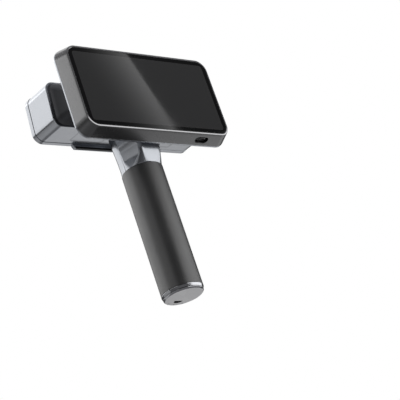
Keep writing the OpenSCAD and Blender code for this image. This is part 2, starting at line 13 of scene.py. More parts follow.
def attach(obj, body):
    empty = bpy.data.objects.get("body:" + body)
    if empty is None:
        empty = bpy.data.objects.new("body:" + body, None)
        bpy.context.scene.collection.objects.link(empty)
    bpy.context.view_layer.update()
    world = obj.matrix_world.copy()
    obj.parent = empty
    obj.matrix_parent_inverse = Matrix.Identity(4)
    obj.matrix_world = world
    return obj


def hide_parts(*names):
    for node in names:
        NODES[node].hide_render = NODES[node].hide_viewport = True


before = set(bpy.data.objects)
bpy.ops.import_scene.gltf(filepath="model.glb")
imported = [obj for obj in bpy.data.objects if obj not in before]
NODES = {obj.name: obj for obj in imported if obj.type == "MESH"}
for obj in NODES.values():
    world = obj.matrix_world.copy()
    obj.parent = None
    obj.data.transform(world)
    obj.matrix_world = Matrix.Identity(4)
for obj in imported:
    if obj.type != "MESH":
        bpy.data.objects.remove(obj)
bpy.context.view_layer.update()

MM = 0.001
ROW = Matrix.Identity(4)
HEAD_PITCH = 4.7
HEAD = Matrix.Translation((0, 24.9, 187.8)) @ Matrix.Rotation(math.radians(HEAD_PITCH), 4, "X")
DISPLAY = Matrix.Translation((0, -43.1, 184.0))
DISPLAY_BACK_Y = -26.7

# head, in its own pitched frame: origin at the window's centre, front face at y = 0
BEZEL = (177.6, 45.1, 9.3)
SHELL = (176.8, 44.3, 8.9)
BEZEL_DEPTH = 5.0
HEAD_DEPTH = 34.5
WALL = 2.0
COVER_X = (22.0, 57.0)
COVER_FRONT = -10.5
COVER_CORNER = 2.5
RIM = (169.0, 41.2, 7.5)
BIG_CAMERA = (65.2, -7.3, 7.7)
SMALL_CAMERA = (73.1, 12.4, 6.2)
PROJECTOR = (-31.0, -7.5, 10.0)
RING_LED_STEP = 8.0
SMALL_LED_X = (62.1, 54.6)
LASER_SLITS = ((7.2, -6.4), (-7.5, -2.0), (-8.2, -11.8))
SENSOR_X = 7.6
SENSOR_Z = 12.4

# display, in its own frame: origin at the centre of the glass face
SCREEN = (158.0, 79.9, 9.5)
FRAME_FRONT = (161.4, 83.3, 11.2)
FRAME_BACK = (168.6, 90.5, 12.8)
FRAME_DEPTH = 13.7
DISPLAY_DEPTH = 16.4
PORT_X = 49.5
PORT_Y = 7.4
BUTTON_X = 52.0
BUTTON_Y = 6.8

# grip and neck, round the row frame's Z
GRIP_R = 19.2
GRIP_BOTTOM = 4.7
GRIP_TOP = 125.1
NECK_R = 18.7

# studio: where the softboxes aim, in millimetres, and how far away they stand, in metres
AIM = (0, 0, 120)
SOFTBOX_DISTANCE = 1.5


# ---- outlines ----


def arc(cx, cy, radius, start, stop, steps):
    """Points on an arc, angles in degrees."""
    points = []
    for i in range(steps + 1):
        angle = math.radians(start + (stop - start) * i / steps)
        points.append((cx + radius * math.cos(angle), cy + radius * math.sin(angle)))
    return points


def rounded_rect(width, height, radius, steps=10):
    """Outline of a rounded rectangle about the origin."""
    x = width / 2 - radius
    y = height / 2 - radius
    points = []
    for cx, cy, start in ((x, y, 0), (-x, y, 90), (-x, -y, 180), (x, -y, 270)):
        points += arc(cx, cy, radius, start, start + 90, steps)
    return points


def slab_ring(y, width, height, radius, centre=(0, 0), steps=10):
    """The same outline standing in the XZ plane at a depth y."""
    return [(centre[0] + a, y, centre[1] + b) for a, b in rounded_rect(width, height, radius, steps)]


def inset_rings(size, profile, centre=(0, 0), steps=10):
    """Rings of one rounded rectangle, shrunk by each (depth, inset) of a profile."""
    width, height, radius = size
    return [
        slab_ring(y, width - 2 * inset, height - 2 * inset, max(radius - inset, 0.2), centre, steps)
        for y, inset in profile
    ]


# ---- meshes ----


def loft(name, rings, place=ROW, closed=False, skins=0):
    """A skin over rings of equal length; closed joins the last ring to the first.

    skins is one material index for the whole piece, or a list with one for each band.
    """
    bm = bmesh.new()
    loops = [[bm.verts.new(place @ Vector(point) * MM) for point in ring] for ring in rings]
    count = len(rings[0])
    pairs = list(zip(loops, loops[1:]))
    if closed:
        pairs.append((loops[-1], loops[0]))
    for band, (a, b) in enumerate(pairs):
        for i in range(count):
            j = (i + 1) % count
            face = bm.faces.new((a[i], a[j], b[j], b[i]))
            face.material_index = skins[band] if isinstance(skins, list) else skins
    if not closed:
        for cap in (loops[0], list(reversed(loops[-1]))):
            bm.faces.new(cap).material_index = 0 if isinstance(skins, list) else skins
    bmesh.ops.recalc_face_normals(bm, faces=bm.faces)
    mesh = bpy.data.meshes.new(name)
    bm.to_mesh(mesh)
    bm.free()
    piece = bpy.data.objects.new(name, mesh)
    bpy.context.scene.collection.objects.link(piece)
    return piece


def turned(name, profile, centre=(0, 0), axis="Z", place=ROW, segments=72, closed=False, skins=0):
    """A turned piece from (radius, height) points, about Z, or about Y through (x, z) = centre."""
    rings = []
    for radius, height in profile:
        circle = arc(0, 0, max(radius, 0.02), 0, 360 - 360 / segments, segments - 1)
        if axis == "Z":
            rings.append([(centre[0] + a, centre[1] + b, height) for a, b in circle])
        else:
            rings.append([(centre[0] + a, height, centre[1] + b) for a, b in circle])
    return loft(name, rings, place, closed, skins)


def joined(name, pieces):
    """Several meshes made into one object of separate solids."""
    bm = bmesh.new()
    for piece in pieces:
        bm.from_mesh(piece.data)
        old = piece.data
        bpy.data.objects.remove(piece)
        bpy.data.meshes.remove(old)
    mesh = bpy.data.meshes.new(name)
    bm.to_mesh(mesh)
    bm.free()
    piece = bpy.data.objects.new(name, mesh)
    bpy.context.scene.collection.objects.link(piece)
    return piece


def block(name, low, high, place=ROW, rotation=ROW):
    """Square-edged block between two corners, turned in its own frame before it is placed."""
    corners = [(low[0], low[1]), (high[0], low[1]), (high[0], high[1]), (low[0], high[1])]
    rings = [[rotation @ Vector((x, y, z)) for x, y in corners] for z in (low[2], high[2])]
    return loft(name, rings, place)


def oblong(name, length, thick, z0, z1, centre, place):
    """Upright oblong bar, its length along X."""
    outline = rounded_rect(length, thick, thick / 2 - 0.01, 8)
    rings = [[(centre[0] + a, centre[1] + b, z) for a, b in outline] for z in (z0, z1)]
    return loft(name, rings, place)


def bake(piece):
    """Applies the modifiers of a piece."""
    graph = bpy.context.evaluated_depsgraph_get()
    mesh = bpy.data.meshes.new_from_object(piece.evaluated_get(graph))
    old = piece.data
    piece.modifiers.clear()
    piece.data = mesh
    bpy.data.meshes.remove(old)


def carve(piece, cutters):
    """Cuts the cutters out of a piece and removes them."""
    for cutter in cutters:
        cut = piece.modifiers.new("cut", "BOOLEAN")
        cut.operation = "DIFFERENCE"
        cut.solver = "EXACT"
        cut.object = cutter
    bake(piece)
    for cutter in cutters:
        bpy.data.objects.remove(cutter)


def soften(piece, width, segments=3, angle=35):
    """Rounds the sharp edges of a piece."""
    bevel = piece.modifiers.new("edge", "BEVEL")
    bevel.width = width * MM
    bevel.segments = segments
    bevel.limit_method = "ANGLE"
    bevel.angle_limit = math.radians(angle)
    bevel.harden_normals = True
    bake(piece)


def trim(piece, point, normal):
    """Cuts a piece off at a plane, keeps the side the normal points away from, and closes the cut."""
    bm = bmesh.new()
    bm.from_mesh(piece.data)
    geometry = bm.verts[:] + bm.edges[:] + bm.faces[:]
    cut = bmesh.ops.bisect_plane(
        bm, geom=geometry, plane_co=Vector(point) * MM, plane_no=Vector(normal), clear_outer=True
    )
    rim = [item for item in cut["geom_cut"] if isinstance(item, bmesh.types.BMEdge)]
    bmesh.ops.holes_fill(bm, edges=rim, sides=0)
    bmesh.ops.recalc_face_normals(bm, faces=bm.faces)
    bm.to_mesh(piece.data)
    bm.free()


def mirrored(make):
    """Makes a piece for the user's right and the user's left; make takes +1 or -1."""
    return [make(1), make(-1)]


def settle(piece, looks, body, slot, *stands_for, angle=32):
    """Gives a finished piece its materials, its body and smooth shading, and hides the CAD nodes it stands for;
    slot is not used.
    """
    for look in looks:
        piece.data.materials.append(look)
    piece.data.shade_smooth()
    piece.data.set_sharp_from_angle(angle=math.radians(angle))
    weigh = piece.modifiers.new("flat_faces", "WEIGHTED_NORMAL")
    weigh.keep_sharp = True
    bake(piece)
    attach(piece, body)
    if stands_for:
        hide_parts(*stands_for)


# ---- finishes ----


def add(tree, kind, inputs=None, **settings):
    """Adds a shader node, with its settings, and links or sets its inputs."""
    made = tree.nodes.new("ShaderNode" + kind)
    for key, value in settings.items():
        setattr(made, key, value)
    for key, value in (inputs or {}).items():
        socket = made.inputs[key]
        if isinstance(value, bpy.types.NodeSocket):
            tree.links.new(value, socket)
        else:
            socket.default_value = value
    return made


def shade(colour, factor):
    return tuple(min(channel * factor, 1.0) for channel in colour) + (1.0,)


def maths(tree, operation, a, b=None):
    """One math node; a and b are sockets or numbers."""
    made = tree.nodes.new("ShaderNodeMath")
    made.operation = operation
    for socket, value in zip(made.inputs, (a, b)):
        if isinstance(value, bpy.types.NodeSocket):
            tree.links.new(value, socket)
        elif value is not None:
            socket.default_value = value
    return made.outputs[0]


def blend_colours(tree, factor, first, second):
    """Mixes two colours, each a socket or a colour, and returns the result socket."""
    mix = tree.nodes.new("ShaderNodeMix")
    mix.data_type = "RGBA"
    for socket, value in ((mix.inputs[0], factor), (mix.inputs[6], first), (mix.inputs[7], second)):
        if isinstance(value, bpy.types.NodeSocket):
            tree.links.new(value, socket)
        else:
            socket.default_value = value
    return mix.outputs[2]


def finish(name, colour, roughness, metallic=0.0, grain=1200.0, depth=0.02, spread=0.06,
           rough_spread=0.05, wear=0.0, stretch=(1, 1, 1), **extra):
    """A surface with mottled tone, uneven roughness, fine grain and lighter worn edges.

    grain is the grain's frequency per metre and depth its height in millimetres.
    """
    material = bpy.data.materials.new("look_" + name)
    material.use_nodes = True
    tree = material.node_tree
    shader = tree.nodes["Principled BSDF"]
    place = add(tree, "TexCoord").outputs["Object"]
    place = add(tree, "Mapping", {"Vector": place, "Scale": stretch}).outputs[0]
    broad = add(tree, "TexNoise", {"Vector": place, "Scale": 38.0, "Detail": 3.0}).outputs[0]
    fine = add(tree, "TexNoise", {"Vector": place, "Scale": grain, "Detail": 2.0}).outputs[0]
    tone = blend_colours(tree, broad, shade(colour, 1 - spread), shade(colour, 1 + spread))
    if wear:
        edge = add(tree, "NewGeometry").outputs["Pointiness"]
        edge = add(tree, "MapRange", {"Value": edge, 1: 0.515, 2: 0.57, 3: 0.0, 4: wear}).outputs[0]
        patch = add(tree, "TexNoise", {"Vector": place, "Scale": 260.0, "Detail": 3.0}).outputs[0]
        tone = blend_colours(tree, maths(tree, "MULTIPLY", edge, patch), tone, shade(colour, 1.9))
    uneven = maths(tree, "ADD", maths(tree, "MULTIPLY", broad, 0.7), maths(tree, "MULTIPLY", fine, 0.3))
    rough = add(tree, "MapRange", {"Value": uneven, 1: 0.3, 2: 0.7, 3: max(roughness - rough_spread, 0.01),
                                   4: min(roughness + rough_spread, 1.0)}).outputs[0]
    bump = add(tree, "Bump", {"Height": fine, "Strength": 1.0, "Distance": depth * MM}).outputs[0]
    tree.links.new(tone, shader.inputs["Base Color"])
    tree.links.new(rough, shader.inputs["Roughness"])
    tree.links.new(bump, shader.inputs["Normal"])
    shader.inputs["Metallic"].default_value = metallic
    for key, value in extra.items():
        shader.inputs[key.replace("_", " ")].default_value = value
    return material


def inside_rect(tree, centre, width, height, radius, blur=0.4):
    """1 inside a rounded rectangle of the XZ plane, 0 outside, lengths in millimetres."""
    place = add(tree, "TexCoord").outputs["Object"]
    axes = add(tree, "SeparateXYZ", {"Vector": place})
    overs = []
    spans = ((axes.outputs["X"], centre[0], width), (axes.outputs["Z"], centre[1], height))
    for socket, middle, side in spans:
        off = maths(tree, "ABSOLUTE", maths(tree, "SUBTRACT", socket, middle * MM))
        over = maths(tree, "MAXIMUM", maths(tree, "SUBTRACT", off, (side / 2 - radius) * MM), 0.0)
        overs.append(maths(tree, "POWER", over, 2.0))
    reach = maths(tree, "SQRT", maths(tree, "ADD", overs[0], overs[1]))
    limits = {"Value": reach, 1: (radius + blur) * MM, 2: radius * MM, 3: 0.0, 4: 1.0}
    return add(tree, "MapRange", limits).outputs[0]


def screen_look():
    """Black glass: printed border, a slightly lighter panel behind it, and faint smudges."""
    material = bpy.data.materials.new("look_screen_black")
    material.use_nodes = True
    tree = material.node_tree
    shader = tree.nodes["Principled BSDF"]
    place = add(tree, "TexCoord").outputs["Object"]
    panel = inside_rect(tree, (0, 184.0), SCREEN[0] - 9.0, SCREEN[1] - 9.0, 2.5)
    pixels = add(tree, "TexChecker", {"Vector": place, "Scale": 9000.0}).outputs["Fac"]
    lit = blend_colours(tree, pixels, (0.066, 0.066, 0.067, 1), (0.058, 0.058, 0.059, 1))
    tone = blend_colours(tree, panel, (0.0035, 0.0035, 0.004, 1), lit)
    smears = {"Vector": place, "Scale": 22.0, "Detail": 5.0, "Roughness": 0.6}
    smudge = add(tree, "TexNoise", smears).outputs[0]
    rough = add(tree, "MapRange", {"Value": smudge, 1: 0.35, 2: 0.75, 3: 0.02, 4: 0.07}).outputs[0]
    tree.links.new(tone, shader.inputs["Base Color"])
    tree.links.new(rough, shader.inputs["Roughness"])
    shader.inputs["IOR"].default_value = 1.5
    return material


def glass_look(name, tint, roughness):
    """Thin coated glass, clear enough to show what is behind it."""
    material = finish(name, tint, roughness, grain=300.0, depth=0.0005, spread=0.03, rough_spread=0.01)
    shader = material.node_tree.nodes["Principled BSDF"]
    shader.inputs["Transmission Weight"].default_value = 1.0
    shader.inputs["IOR"].default_value = 1.45
    return material


def lens_look(name, centre_tint, rim_sheen_tint):
    """Domed, coated lens: its colour turns lighter towards the rim, where it is seen at a glancing angle, as a
    painted sheen.
    """
    material = bpy.data.materials.new("look_" + name)
    material.use_nodes = True
    tree = material.node_tree
    shader = tree.nodes["Principled BSDF"]
    # painted sheen: the base colour lightens with the glancing view angle, varied by faint random film noise
    facing = add(tree, "LayerWeight", {"Blend": 0.35}).outputs["Facing"]
    place = add(tree, "TexCoord").outputs["Object"]
    film = add(tree, "TexNoise", {"Vector": place, "Scale": 120.0, "Detail": 2.0}).outputs[0]
    turn = maths(tree, "ADD", facing, maths(tree, "MULTIPLY", film, 0.15))
    tone = blend_colours(tree, turn, centre_tint + (1,), rim_sheen_tint + (1,))
    tree.links.new(tone, shader.inputs["Base Color"])
    shader.inputs["Roughness"].default_value = 0.06
    shader.inputs["Coat Weight"].default_value = 1.0
    shader.inputs["Coat Roughness"].default_value = 0.02
    return material


def board_look():
    """Green circuit board with copper tracks under the lacquer."""
    material = finish("circuit_board", (0.012, 0.085, 0.045), 0.4, grain=700.0, depth=0.01)
    tree = material.node_tree
    shader = tree.nodes["Principled BSDF"]
    place = add(tree, "TexCoord").outputs["Object"]
    tracks = add(tree, "TexBrick", {"Vector": place, "Scale": 240.0, "Mortar Size": 0.03}).outputs["Fac"]
    base = shader.inputs["Base Color"].links[0].from_socket
    tree.links.new(blend_colours(tree, tracks, base, (0.06, 0.22, 0.09, 1)), shader.inputs["Base Color"])
    return material


LOOKS = {
    "silver_metal": finish("silver_metal", (0.54, 0.56, 0.595), 0.22, 1.0, 2600.0, 0.002, 0.015, 0.012,
                           wear=0.2),
    "silver_paint": finish("silver_paint", (0.46, 0.47, 0.49), 0.3, 0.9, 2400.0, 0.004, 0.02, 0.02, wear=0.3),
    "gunmetal_paint": finish("gunmetal_paint", (0.28, 0.28, 0.282), 0.27, 1.0, 2400.0, 0.003, 0.02, 0.015,
                             wear=0.2),
    "black_plastic": finish("black_plastic", (0.012, 0.012, 0.013), 0.42, 0.0, 1800.0, 0.02, 0.1, 0.06,
                            wear=0.5),
    "dark_gloss": finish("dark_gloss", (0.18, 0.184, 0.193), 0.38, 0.9, 2000.0, 0.004, 0.04, 0.03, wear=0.3),
    "window_black": finish("window_black", (0.004, 0.004, 0.0045), 0.06, 0.0, 300.0, 0.0004, 0.05, 0.02,
                           Coat_Weight=0.6, Coat_Roughness=0.03),
    "grip_rubber": finish("grip_rubber", (0.026, 0.026, 0.026), 0.38, 0.0, 2800.0, 0.02, 0.08, 0.05,
                          IOR=1.75, Specular_IOR_Level=1.0, Sheen_Weight=0.1, Sheen_Roughness=0.4),
    "chrome_ring": finish("chrome_ring", (0.72, 0.73, 0.76), 0.14, 1.0, 1500.0, 0.002, 0.03, 0.03),
    "grey_plastic": finish("grey_plastic", (0.74, 0.74, 0.75), 0.34, 0.8, 1900.0, 0.004, 0.02, 0.02,
                           wear=0.3),
    "raw_aluminium": finish("raw_aluminium", (0.6, 0.6, 0.61), 0.35, 1.0, 900.0, 0.01, 0.05, 0.08,
                            stretch=(0.15, 1, 1)),
    "steel_screw": finish("steel_screw", (0.5, 0.5, 0.51), 0.28, 1.0, 1500.0, 0.006, 0.05, 0.06),
    "brass_metal": finish("brass_metal", (0.66, 0.5, 0.22), 0.25, 1.0, 1500.0, 0.005, 0.06, 0.05),
    "cable_rubber": finish("cable_rubber", (0.014, 0.014, 0.014), 0.6, 0.0, 1600.0, 0.03, 0.1, 0.06),
    "battery_wrap": finish("battery_wrap", (0.02, 0.035, 0.09), 0.3, 0.0, 600.0, 0.006, 0.08, 0.05),
    "light_emitter": finish("light_emitter", (0.62, 0.6, 0.2), 0.3, 0.0, 2500.0, 0.01, 0.15, 0.05,
                            Coat_Weight=0.8, Coat_Roughness=0.05),
    "circuit_board": board_look(),
    "clear_glass": glass_look("clear_glass", (0.9, 0.93, 0.95), 0.03),
    "screen_black": screen_look(),
}
# both lens looks carry a painted sheen that lightens their rims at glancing view angles
LENS_DARK = lens_look("lens_dark", (0.09, 0.091, 0.096), (0.19, 0.19, 0.2))
LENS_GREY = lens_look("lens_grey", (0.12, 0.122, 0.126), (0.24, 0.243, 0.25))
POLISHED = finish("polished_edge", (0.5, 0.5, 0.51), 0.2, 1.0, 2000.0, 0.002, 0.03, 0.03)
BARREL_RING = finish("barrel_ring", (0.26, 0.263, 0.27), 0.5, 0.2, 2000.0, 0.01, 0.08, 0.05, wear=0.6)
SMOKED = finish("smoked_cover", (0.075, 0.078, 0.082), 0.1, 0.0, 900.0, 0.001, 0.06, 0.03, Coat_Weight=1.0)

for cad_node in NODES.values():
    for index, old_look in enumerate(cad_node.data.materials):
        cad_node.data.materials[index] = LOOKS[old_look.name.split(".")[0]]


# ---- optical head ----


def make_front_bezel():
    """Metal rim round the window, with a fine step where the window drops in."""
    profile = [(-1.6, 1.3), (-0.35, 1.25), (-0.3, 1.1), (-0.3, 0.45), (-0.42, 0.16), (-0.75, 0.0),
               (-BEZEL_DEPTH + 0.35, 0.0), (-BEZEL_DEPTH + 0.1, 0.1), (-BEZEL_DEPTH, 0.35), (-BEZEL_DEPTH, 4.3),
               (-1.6, 4.3)]
    rings = inset_rings(BEZEL, profile, steps=12)
    piece = loft("bezel_rim", rings, HEAD, closed=True)
    settle(piece, [LOOKS["silver_metal"]], "scanner", "silver_metal", "front_bezel")


def cover_outline(gap, z):
    """Flat outline of the panel on the user's right of the neck, with two rounded front corners."""
    x0, x1 = COVER_X[0] + gap, COVER_X[1] - gap
    front = COVER_FRONT - gap
    radius = COVER_CORNER - gap
    points = arc(x0 + radius, front - radius, radius, 180, 90, 6)
    points += arc(x1 - radius, front - radius, radius, 90, 0, 6)
    points += [(x1, -HEAD_DEPTH - 1), (x0, -HEAD_DEPTH - 1)]
    return [(x, y, z) for x, y in points]


def flip(rings, side):
    """Rings mirrored to the user's left when side is -1."""
    return [[(x * side, y, z) for x, y, z in ring] for ring in rings]


def make_head_shell():
    """Tube of the head, opened underneath for two panels and the neck."""
    back = -HEAD_DEPTH
    front = -BEZEL_DEPTH - 0.1
    low = -SHELL[1] / 2
    profile = [(front, 0.4), (front - 0.12, 0.12), (front - 0.4, 0.0), (back + 0.5, 0.0), (back + 0.15, 0.15),
               (back, 0.5), (back, WALL), (front, WALL)]
    piece = loft("head_tube", inset_rings(SHELL, profile, steps=14), HEAD, closed=True)
    cutters = [turned("neck_way", [(NECK_R - 1.7, 140), (NECK_R - 1.7, 180)])]
    for side in (1, -1):
        rings = [cover_outline(-0.15, low - 1), cover_outline(-0.15, low + 3)]
        cutters.append(loft("opening", flip(rings, side), HEAD))
    carve(piece, cutters)
    settle(piece, [LOOKS["silver_metal"]], "scanner", "silver_metal", "head_shell")


def make_bottom_cover():
    """Two panels under the head, their edges broken so that the seam round each reads as a fine dark line."""
    low = -SHELL[1] / 2
    panels = []
    for side in (1, -1):
        rings = [cover_outline(0.45, low), cover_outline(0.25, low + 0.08), cover_outline(0.15, low + 0.3),
                 cover_outline(0.15, low + WALL)]
        panels.append(loft("panel", flip(rings, side), HEAD))
    piece = joined("under_panels", panels)
    trim(piece, HEAD @ Vector((0, -HEAD_DEPTH + 0.2, 0)), HEAD.to_3x3() @ Vector((0, -1, 0)))
    settle(piece, [LOOKS["silver_metal"]], "scanner", "silver_metal", "bottom_cover")


def make_chin():
    """Silver hood under the bezel with slanted ends, and the dark ribbed strip set into it from behind."""
    low = -BEZEL[1] / 2 - 0.05
    outline = [(-49.0, low), (49.0, low), (47.1, low - 3.4), (-47.1, low - 3.4)]
    rings = [[(x, y, z) for x, z in outline] for y in (-4.0, -0.4)]
    hood = loft("chin_hood", rings, HEAD)
    carve(hood, [block("pocket", (-46.1, -5, low - 4), (46.1, -1.6, low - 1.3), HEAD)])
    soften(hood, 0.3)
    settle(hood, [LOOKS["silver_metal"]], "scanner", "silver_metal", "chin_lip")
    strip = block("chin_vent_strip", (-46, -4.0, low - 3.25), (46, -1.7, low - 1.4), HEAD)
    slots = [block("slot", (x - 1.3, -5, low - 2.8), (x + 1.3, -3.5, low - 1.9), HEAD)
             for x in range(-40, 41, 5)]
    carve(strip, slots)
    soften(strip, 0.12, 2)
    settle(strip, [LOOKS["black_plastic"]], "scanner", "black_plastic", "chin_strip")


def housing_station(share):
    """Width, height and corner radius of the rear housing, from the head's rim at 0 to its far end at 1."""
    ease = 1 - (1 - share) ** 1.45
    return (RIM[0] - 33.0 * ease, RIM[1] - 19.2 * ease, RIM[2] + 1.2 * ease)


def make_rear_housing():
    """Dark tub between the head and the display, closing in quickly with a hollow curve."""
    start = -HEAD_DEPTH - 0.1
    length = 21.4
    rings = [slab_ring(start + 3.0, 172.2, 39.7, 6.5, steps=12), slab_ring(start, 172.2, 39.7, 6.5, steps=12)]
    for lead, drop in ((0.05, 0.35), (0.2, 0.08)):
        rings.append(slab_ring(start - lead, RIM[0] - 2 * drop, RIM[1] - 2 * drop, RIM[2] - drop, steps=12))
    for i in range(1, 19):
        rings.append(slab_ring(start - 0.5 - length * i / 18, *housing_station(i / 18), steps=12))
    piece = loft("rear_tub", rings, HEAD)
    trim(piece, (0, DISPLAY_BACK_Y + 0.1, 0), (0, -1, 0))
    cuts = [block("vent", (x, -3, -6), (x + 30, 3, 12), HEAD, VENT_PLACE) for x in (34, -64)]
    carve(piece, cuts)
    settle(piece, [LOOKS["dark_gloss"]], "scanner", "dark_gloss", "rear_housing")


VENT_PLACE = Matrix.Translation((0, -40.4, 16.9)) @ Matrix.Rotation(math.radians(31), 4, "X")


def make_top_vents():
    """Two louvred grilles in the housing's sloping top: a frame with slanted blades."""
    parts = []
    for x in (34.1, -63.9):
        rim = block("rim", (x, -2.9, -2.2), (x + 29.8, 2.9, -0.2), HEAD, VENT_PLACE)
        carve(rim, [block("inner", (x + 1.0, -2.0, -3), (x + 28.8, 2.0, 1), HEAD, VENT_PLACE)])
        parts.append(rim)
        for i in range(8):
            centre = Matrix.Translation((x + 2.6 + i * 3.5, 0, -1.2))
            lean = VENT_PLACE @ centre @ Matrix.Rotation(0.5, 4, "Y")
            parts.append(block("blade", (-0.4, -2.1, -0.9), (0.4, 2.1, 0.9), HEAD, lean))
    piece = joined("vent_grilles", parts)
    soften(piece, 0.1, 2)
    settle(piece, [LOOKS["black_plastic"]], "scanner", "black_plastic", "top_vents")


def stepped_barrel(name, x, z, outer, lens, front, back):
    """Camera barrel with a knurl-like row of baffle steps down to its lens."""
    profile = [(0.0, back), (outer, back), (outer, front - 0.3), (outer - 0.3, front)]
    steps = 4
    depth = -6.9 - front
    for i in range(steps):
        radius = outer - 0.9 - (outer - 0.9 - lens) * i / steps
        level = front + depth * i / steps
        profile += [(radius, level), (radius - 0.1, level + depth / steps)]
    profile += [(lens, -6.95), (0.0, -6.95)]
    skins = [0, 0, 1, 1] + [0] * (len(profile) - 5)
    return turned(name, profile, (x, z), "Y", HEAD, 64, skins=skins)


def dome(name, x, z, radius, rim, bulge, back, rings=8):
    """Lens with a domed front; rim is the depth of its edge and bulge how far it stands out."""
    profile = [(radius, back), (radius, rim)]
    for i in range(1, rings + 1):
        angle = math.radians(90 * i / rings)
        profile.append((radius * math.cos(angle), rim + bulge * math.sin(angle)))
    return turned(name, [(0.0, back)] + profile, (x, z), "Y", HEAD, 56)


def make_cameras():
    """Four cameras: barrels, domed lenses and the bright retaining ring seen through each window."""
    for label, (x, z, opening), outer, lens, back in (
        ("large", BIG_CAMERA, 7.0, 5.0, -25.0),
        ("small", SMALL_CAMERA, 5.5, 3.7, -27.0),
    ):
        barrels = joined(f"{label}_camera_barrels",
                         mirrored(lambda side: stepped_barrel("barrel", side * x, z, outer, lens,
                                                              -4.2, back)))
        settle(barrels, [LOOKS["black_plastic"], BARREL_RING], "scanner", "black_plastic", f"{label}_cameras")
        lenses = joined(f"{label}_camera_lenses",
                        mirrored(lambda side: dome("lens", side * x, z, lens - 0.1, -6.6, 1.7, -6.9)))
        settle(lenses, [LENS_DARK], "scanner", "clear_glass", "camera_lenses")
        trims = []
        for side in (1, -1):
            profile = [(opening - 0.05, -1.55), (opening - 0.05, -0.25), (opening - 0.2, -0.08),
                       (opening - 0.65, -0.08), (opening - 0.8, -0.25), (opening - 0.8, -1.55)]
            trims.append(turned("trim", profile, (side * x, z), "Y", HEAD, 64, closed=True))
        ring = joined(f"{label}_camera_trims", trims)
        settle(ring, [BARREL_RING], "scanner", "black_plastic")


def make_camera_windows():
    """Clear discs over the cameras, inside their trims."""
    discs = []
    for x, z, opening in (BIG_CAMERA, SMALL_CAMERA):
        for side in (1, -1):
            profile = [(0.0, -1.5), (opening - 0.85, -1.5), (opening - 0.85, -0.35), (opening - 1.0, -0.22),
                       (0.0, -0.22)]
            discs.append(turned("disc", profile, (side * x, z), "Y", HEAD, 56))
    piece = joined("camera_cover_discs", discs)
    settle(piece, [LOOKS["clear_glass"]], "scanner", "clear_glass", "camera_windows")


def led_centres():
    """Places of all light emitters, (x, z) in the head's frame."""
    places = []
    for side in (1, -1):
        for dx in (-RING_LED_STEP, RING_LED_STEP):
            for dz in (-RING_LED_STEP, RING_LED_STEP):
                places.append((side * BIG_CAMERA[0] + dx, BIG_CAMERA[1] + dz))
        for x in SMALL_LED_X:
            places.append((side * x, SMALL_CAMERA[1]))
    return places


def make_led_windows():
    """Small domed light windows: a dark collar and a pale yellow phosphor eye."""
    lights = []
    for x, z in led_centres():
        profile = [(0.0, -1.5), (1.95, -1.5), (1.95, -0.2), (1.8, -0.06), (1.45, -0.1), (1.3, -0.45),
                   (1.2, -0.42), (0.95, -0.2), (0.55, -0.1), (0.0, -0.07)]
        skins = [0, 0, 0, 0, 0, 1, 1, 1, 1]
        lights.append(turned("light", profile, (x, z), "Y", HEAD, 32, skins=skins))
    piece = joined("light_windows", lights)
    settle(piece, [BARREL_RING, LOOKS["light_emitter"]], "scanner", "clear_glass", "led_windows")


def make_projector():
    """Pattern projector: a stepped collar and a large grey domed lens behind the window."""
    x, z, opening = PROJECTOR
    profile = [(0.0, -26.0), (9.0, -26.0), (9.0, -3.9), (8.7, -3.6), (8.3, -3.6), (8.1, -4.4), (7.7, -4.5),
               (7.6, -6.4), (0.0, -6.4)]
    collar = turned("projector_barrel", profile, (x, z), "Y", HEAD, 72, skins=[0, 0, 1, 1, 1, 0, 0, 0])
    settle(collar, [LOOKS["black_plastic"], BARREL_RING], "scanner", "black_plastic", "pattern_projector")
    lens = dome("projector_dome", x, z, 7.5, -6.0, 3.6, -6.35, 12)
    settle(lens, [LENS_GREY], "scanner", "clear_glass", "projector_lens")
    profile = [(opening - 0.05, -1.55), (opening - 0.05, -0.25), (opening - 0.25, -0.08),
               (opening - 0.8, -0.08), (opening - 1.0, -0.3), (opening - 1.0, -1.55)]
    trim_ring = turned("projector_trim", profile, (x, z), "Y", HEAD, 72, closed=True)
    settle(trim_ring, [BARREL_RING], "scanner", "black_plastic")
    profile = [(0.0, -1.5), (opening - 1.05, -1.5), (opening - 1.05, -0.4), (opening - 1.25, -0.25),
               (0.0, -0.25)]
    disc = turned("projector_cover_disc", profile, (x, z), "Y", HEAD, 64)
    settle(disc, [LOOKS["clear_glass"]], "scanner", "clear_glass", "projector_window")


def make_sensor_windows():
    """Two square smoked windows and three upright laser slits."""
    parts = []
    for side in (1, -1):
        profile = [(-1.5, 0.0), (-0.3, 0.0), (-0.1, 0.25), (-0.1, 0.7), (-0.35, 0.85), (-0.35, 2.5)]
        rings = inset_rings((5.3, 5.3, 0.7), profile, (side * SENSOR_X, SENSOR_Z), 5)
        parts.append(loft("square", rings, HEAD))
    for x, z in LASER_SLITS:
        profile = [(-1.5, 0.0), (-0.25, 0.0), (-0.1, 0.12), (-0.1, 0.3), (-0.4, 0.4), (-0.4, 0.7)]
        parts.append(loft("slit", inset_rings((1.5, 4.3, 0.7), profile, (x, z), 5), HEAD))
    piece = joined("sensor_covers", parts)
    settle(piece, [SMOKED], "scanner", "clear_glass", "sensor_windows")


# ---- display ----


